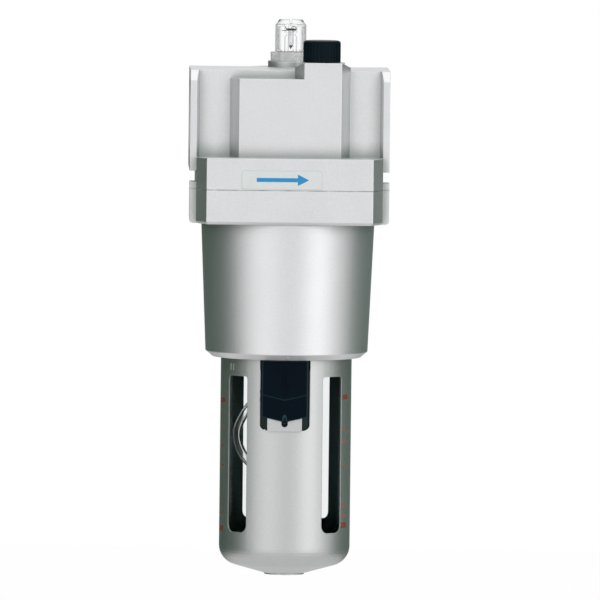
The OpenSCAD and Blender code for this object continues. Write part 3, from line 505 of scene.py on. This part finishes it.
returnSpring = {
    "wire": 0.2,
    "coil": 1.1,            # radius of the wire's middle line
    "turns": 6,
    "perTurn": 28,
    "sides": 10,
    "flat": 0.9,            # how flat the wire is pressed at both ends
    "low": -136.5,
    "high": -128.45,
    "axisR": 30.2,          # from the bowl's axis
    "keep": 0.58,           # length left when the button is down
}


def springShape(look):
    sides, total = look["sides"], look["turns"] * look["perTurn"]
    middle = onGuard(0, look["axisR"], 0)
    points = []
    for k in range(total + 1):
        turn = 2 * math.pi * k / look["perTurn"]
        out = Vector((math.cos(turn), math.sin(turn), 0))
        centre = out * look["coil"] + Vector((0, 0, look["low"] + (look["high"] - look["low"]) * k / total))
        full = look["flat"] + (1 - look["flat"]) * min(1, k / look["perTurn"], (total - k) / look["perTurn"])
        for j in range(sides):
            spin = 2 * math.pi * j / sides
            ring = out * math.cos(spin) + Vector((0, 0, full * math.sin(spin)))
            points.append(middle + (centre + ring * look["wire"]) * mm)
    ends = [tuple(range(sides)), tuple(range(total * sides + sides - 1, total * sides - 1, -1))]
    return points, ringWalls(0, total, sides) + ends


spring = makePiece("return_spring", springShape(returnSpring), metalFinishes["springDark"],
                   "bowl_unit", smooth=True)
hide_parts("button_spring")
onGuard(0, returnSpring["axisR"], returnSpring["low"] - returnSpring["wire"])
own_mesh(spring)

# painted shade: a dark sheet behind the button window, where there is only shade inside the guard
buttonShadeSheet = {
    "angle": 23.0,          # half the button window, degrees
    "low": -138.6,
    "high": -105.5,
    "radius": 28.62,
    "thick": 0.08,
    "steps": 24,
}
shadeSheetPlate = (-buttonShadeSheet["angle"], buttonShadeSheet["angle"], buttonShadeSheet["low"], buttonShadeSheet["high"])
makePiece("button_shade_sheet",
          bentPlates([shadeSheetPlate], buttonShadeSheet["radius"], buttonShadeSheet["thick"], buttonShadeSheet["steps"]),
          mouldingFinishes["backingShade"], "bowl_unit")

pressedMarks = {
    "angles": (-56.5, -52.5, 42.5, 46.5),
    "half": 0.35,           # degrees
    "low": -112.4,
    "high": -109.6,
    "radius": 29.6,
    "thick": 0.12,
    "steps": 2,
}
strokes = [(angle - pressedMarks["half"], angle + pressedMarks["half"], pressedMarks["low"], pressedMarks["high"])
           for angle in pressedMarks["angles"]]
makePiece("guard_strokes", bentPlates(strokes, pressedMarks["radius"], pressedMarks["thick"], pressedMarks["steps"]),
          guardPaintFinish, "bowl_unit")

portThread = {
    "radius": 15.18,        # the CAD bore is the thread's crest line
    "relief": 0.5,
    "pitch": 2.309,
    "half": 0.46,           # half the ridge's foot, as a share of the pitch
    "crest": 0.2,           # its top, as a share of the foot
    "turns": 8,
    "lead": 1.6,
    "segments": 48,
    "fade": 12,             # segments over which it rises and dies away
    "mouths": {"inlet_thread": (0.0, 1), "outlet_thread": (90.0, -1)},  # x, and the way in
}


def threadShape(mouthX, inward, look):
    points = []
    total = look["turns"] * look["segments"]
    half = look["pitch"] * look["half"]
    crest = half * look["crest"]
    for k in range(total + 1):
        turn = 2 * math.pi * k / look["segments"] * inward
        along = mouthX + inward * (look["lead"] + look["pitch"] * k / look["segments"])
        top = look["radius"] - look["relief"] * min(1, k / look["fade"], (total - k) / look["fade"])
        for shift, r in ((-half, look["radius"]), (-crest, top), (crest, top), (half, look["radius"])):
            points.append(Vector((along + shift, math.sin(turn) * r, math.cos(turn) * r)) * mm)
    ends = [(0, 1, 2, 3), (4 * total + 3, 4 * total + 2, 4 * total + 1, 4 * total)]
    return points, ringWalls(0, total, 4) + ends


for name, (mouthX, inward) in portThread["mouths"].items():
    makePiece(name, threadShape(mouthX, inward, portThread), castPaintFinish, "head", smooth=True)

label = {
    "left": 23.3,           # millimetres in the frame
    "right": 59.4,
    "low": -29.4,
    "high": -21.2,
    "face": -41.0,
    "sunk": 0.02,
    "thick": 0.08,
    "round": 1.1,
    "arrow": (30.0, 48.5, 53.5),         # tail, neck and tip
    "arrowHalf": (0.9, 2.6),
    "arrowProud": 0.02,
}


def plateShape(outline, back, front):  # a flat outline (x, z) given thickness along y
    count = len(outline)
    points = [Vector((x, y, z)) * mm for y in (back, front) for x, z in outline]
    faces = [tuple(range(count)), tuple(range(2 * count - 1, count - 1, -1))]
    faces += [(k, (k + 1) % count, count + (k + 1) % count, count + k) for k in range(count)]
    return points, faces


def roundedOutline(left, right, low, high, radius, steps=5):
    corners = ((right - radius, high - radius, 0), (left + radius, high - radius, 90),
               (left + radius, low + radius, 180), (right - radius, low + radius, 270))
    turns = [(x, z, math.radians(start + 90 * k / steps)) for x, z, start in corners for k in range(steps + 1)]
    return [(x + radius * math.cos(turn), z + radius * math.sin(turn)) for x, z, turn in turns]


face = label["face"]
front = face - label["thick"]
plateOutline = roundedOutline(label["left"], label["right"], label["low"], label["high"], label["round"])
makePiece("label_plate", plateShape(plateOutline, face + label["sunk"], front), mouldingFinishes["labelWhite"],
          "head")
middleZ = (label["low"] + label["high"]) / 2
tail, neck, tip = label["arrow"]
shaft, barb = label["arrowHalf"]
arrowOutline = [(tail, middleZ - shaft), (neck, middleZ - shaft), (neck, middleZ - barb), (tip, middleZ),
                (neck, middleZ + barb), (neck, middleZ + shaft), (tail, middleZ + shaft)]
makePiece("flow_arrow", plateShape(arrowOutline, face, front - label["arrowProud"]), mouldingFinishes["labelBlue"],
          "head")

chamferMark = {
    "x": 45.2,
    "half": (0.33, 1.1),    # half its width, below and above
    "z": (-106.9, -105.1),
    "chamferFoot": (33.6, -107.0),       # radius and height of the chamfer's lower edge
    "chamferRun": 3.1 / 2.6,
    "proud": 0.16,
    "sunk": 0.3,
}


def chamferWedge(look):
    footR, footZ = look["chamferFoot"]
    return [Vector((look["x"] + side * half, -(footR + (z - footZ) * look["chamferRun"]) - out, z)) * mm
            for out in (look["proud"], -look["sunk"]) for half, z in zip(look["half"], look["z"]) for side in (-1, 1)]


wedgeFaces = [(0, 1, 3, 2), (4, 6, 7, 5), (0, 4, 5, 1), (2, 3, 7, 6), (0, 2, 6, 4), (1, 5, 7, 3)]
makePiece("alignment_mark", (chamferWedge(chamferMark), wedgeFaces), castPaintFinish, "head")

dialMarks = {
    "x": 45.8,              # the dome's axis
    "y": 20.1,
    "z": 40.7,
    "radius": 7.0,
    "thick": 0.04,
    "line": 0.28,
    "oval": (10, 9, 1.1),   # middle and half width in degrees, half height
    "ovalStep": 30,
    "barb": [(-36, -0.9), (-14, -0.9), (-22, 0.9)],
}


def onDome(angle, radius, z):
    turn = math.radians(angle)
    return Vector((dialMarks["x"] + math.sin(turn) * radius, dialMarks["y"] - math.cos(turn) * radius, z)) * mm


def strokeOnDome(path, width):  # a line of small plates through (angle, z)
    points, faces = [], []
    radius, thick = dialMarks["radius"], dialMarks["thick"]
    for (a0, z0), (a1, z1) in zip(path, path[1:]):
        first = len(points)
        run = Vector((math.radians(a1 - a0) * radius, z1 - z0)).normalized() * width / 2
        turn = math.degrees(run.y / radius)
        corners = ((a0 - turn, z0 + run.x), (a1 - turn, z1 + run.x), (a1 + turn, z1 - run.x), (a0 + turn, z0 - run.x))
        for r in (radius - thick, radius + thick):
            points += [onDome(a, r, z) for a, z in corners]
        faces += [tuple(first + j for j in quad) for quad in
                  ((3, 2, 1, 0), (4, 5, 6, 7), (0, 1, 5, 4), (1, 2, 6, 5), (2, 3, 7, 6), (3, 0, 4, 7))]
    return points, faces


ovalMiddle, ovalWide, ovalHigh = dialMarks["oval"]
ovalTurns = [math.radians(a) for a in range(0, 361, dialMarks["ovalStep"])]
oval = [(ovalMiddle + ovalWide * math.cos(a), dialMarks["z"] + ovalHigh * math.sin(a)) for a in ovalTurns]
barbLine = [(angle, dialMarks["z"] + rise) for angle, rise in dialMarks["barb"]]
for name, path in (("dial_zero", oval), ("dial_arrow", barbLine)):
    makePiece(name, strokeOnDome(path, dialMarks["line"]), mouldingFinishes["inkGrey"], "dial")
print("own pieces made")


studio = {
    "distance": 6.0,        # camera to the object, metres
    "rise": 3.33,           # degrees above level
    "side": -1.2,           # degrees round from the front
    "roll": 0.65,
    "scale": 2210.5,        # pixels per metre at the aim point
    "aimPixel": (287.0, 296.5),
    "aimDepth": -0.080,     # the aim point on the bowl's axis, from the ports' axis
    "picture": 600,
    "sensor": 36,
    "clipEnd": 100,
    "floorDrop": 0.45,      # floor below the guard's foot
    "floorBox": (-6, 6, -8, 6),
    "whiteShare": 0.985,    # of the floor's look; the rest is plain and keeps the shadow
    "plainTone": (0.95, 0.95, 0.95),
    "cardDistance": 0.75,
    "cardHeight": (-0.55, 0.45),
    "cardSteps": 16,
    "cards": {"cardLeft": (-70, -166, (0.022, 0.062, 0.036)), "cardRight": (88, 164, (0.055, 0.110, 0.080))},
    "lampDistance": 1.6,
    "lamps": {              # degrees round and up, size, watts
        "lampLeft": (-32, 6, (1.1, 1.8), 4.2),
        "lampRight": (42, 6, (0.9, 1.8), 7.2),
        "lampTop": (10, 75, (1.4, 1.4), 5),
    },
    "worldTone": (0.50, 0.53, 0.51),     # what the world gives as plain light
}


def placeCamera(look):
    rise, side, roll = (math.radians(look[k]) for k in ("rise", "side", "roll"))
    back = Vector((math.sin(side) * math.cos(rise), -math.cos(side) * math.cos(rise), math.sin(rise)))
    right = (-back).cross(Vector((0, 0, 1))).normalized()
    up = right.cross(-back)
    across = right * math.cos(roll) + up * math.sin(roll)
    over = up * math.cos(roll) - right * math.sin(roll)
    middle = look["picture"] / 2
    aim = bowlAxis + Vector((0, 0, look["aimDepth"]))
    aim += across * (middle - look["aimPixel"][0]) / look["scale"]
    aim += over * (look["aimPixel"][1] - middle) / look["scale"]
    lens = bpy.data.cameras.new("camera")
    lens.sensor_width = look["sensor"]
    lens.lens = look["sensor"] * look["scale"] * look["distance"] / look["picture"]
    lens.clip_end = look["clipEnd"]
    camera = bpy.data.objects.new("camera", lens)
    bpy.context.scene.collection.objects.link(camera)
    turn = Matrix((across, over, back)).transposed().to_4x4()
    camera.matrix_world = Matrix.Translation(aim + back * look["distance"]) @ turn
    bpy.context.scene.camera = camera


def makeBackground(name, look):  # white for the camera and in gloss and glass, plain to other rays
    pale = newFinish(name)
    camera, glossy, through = (pale.node("ShaderNodeLightPath", output=k)
                               for k in ("Is Camera Ray", "Is Glossy Ray", "Is Transmission Ray"))
    plain = pale.node("ShaderNodeBsdfDiffuse", None, {"Color": (*look["plainTone"], 1)})
    white = pale.node("ShaderNodeEmission", None, {"Color": (1, 1, 1, 1), "Strength": 1.0})
    factor = (camera | glossy | through) * look["whiteShare"]
    return pale.close(pale.node("ShaderNodeMixShader", None, {0: factor, 1: plain, 2: white}))


def makeCard(name, start, end, tone):  # a dark panel beside the object, as silver goods are photographed
    plain = newFinish(name)
    plain.close(plain.node("ShaderNodeEmission", None, {"Color": (*tone, 1), "Strength": 1.0}))
    points = []
    steps = studio["cardSteps"]
    for k in range(steps + 1):
        turn = math.radians(start + (end - start) * k / steps)
        away = Vector((math.sin(turn), -math.cos(turn), 0)) * studio["cardDistance"]
        points += [bowlAxis + away + Vector((0, 0, z)) for z in studio["cardHeight"]]
    faces = [(2 * k, 2 * k + 1, 2 * k + 3, 2 * k + 2) for k in range(steps)]
    card = makeMesh(name, points, faces, plain.owner)
    card.visible_camera = False
    card.visible_transmission = False
    card.visible_shadow = False


def addLamp(name, azimuth, rise, size, power):
    lamp = bpy.data.lights.new(name, "AREA")
    lamp.shape = "RECTANGLE"
    lamp.size, lamp.size_y = size
    lamp.energy = power
    holder = bpy.data.objects.new(name, lamp)
    bpy.context.scene.collection.objects.link(holder)
    turn, up = math.radians(azimuth), math.radians(rise)
    away = Vector((math.sin(turn) * math.cos(up), -math.cos(turn) * math.cos(up), math.sin(up)))
    holder.location = bowlAxis + Vector((0, 0, studio["aimDepth"])) + away * studio["lampDistance"]
    holder.rotation_euler = away.to_track_quat("Z", "Y").to_euler()


def makeWorld(level):  # white wherever it is seen, a little less as plain light
    world = bpy.data.worlds.new("studio")
    bpy.context.scene.world = world
    sky = Finish(world)
    diffuse = sky.node("ShaderNodeLightPath", output="Is Diffuse Ray")
    white, plain = (sky.node("ShaderNodeBackground", None, {"Color": (*tone, 1)}) for tone in ((1, 1, 1), level))
    sky.close(sky.node("ShaderNodeMixShader", None, {0: diffuse, 1: white, 2: plain}), "ShaderNodeOutputWorld")


placeCamera(studio)
floorLeft, floorRight, floorFront, floorBack = studio["floorBox"]
floorZ = cadLow.z - studio["floorDrop"]
floorCorners = [(floorLeft, floorFront, floorZ), (floorRight, floorFront, floorZ),
                (floorRight, floorBack, floorZ), (floorLeft, floorBack, floorZ)]
makeMesh("floor", floorCorners, [(0, 1, 2, 3)], makeBackground("backgroundWhite", studio))
for name, card in studio["cards"].items():
    makeCard(name, *card)
for name, lamp in studio["lamps"].items():
    addLamp(name, *lamp)
makeWorld(studio["worldTone"])
bpy.context.scene.view_settings.view_transform = "Standard"
print("studio set")
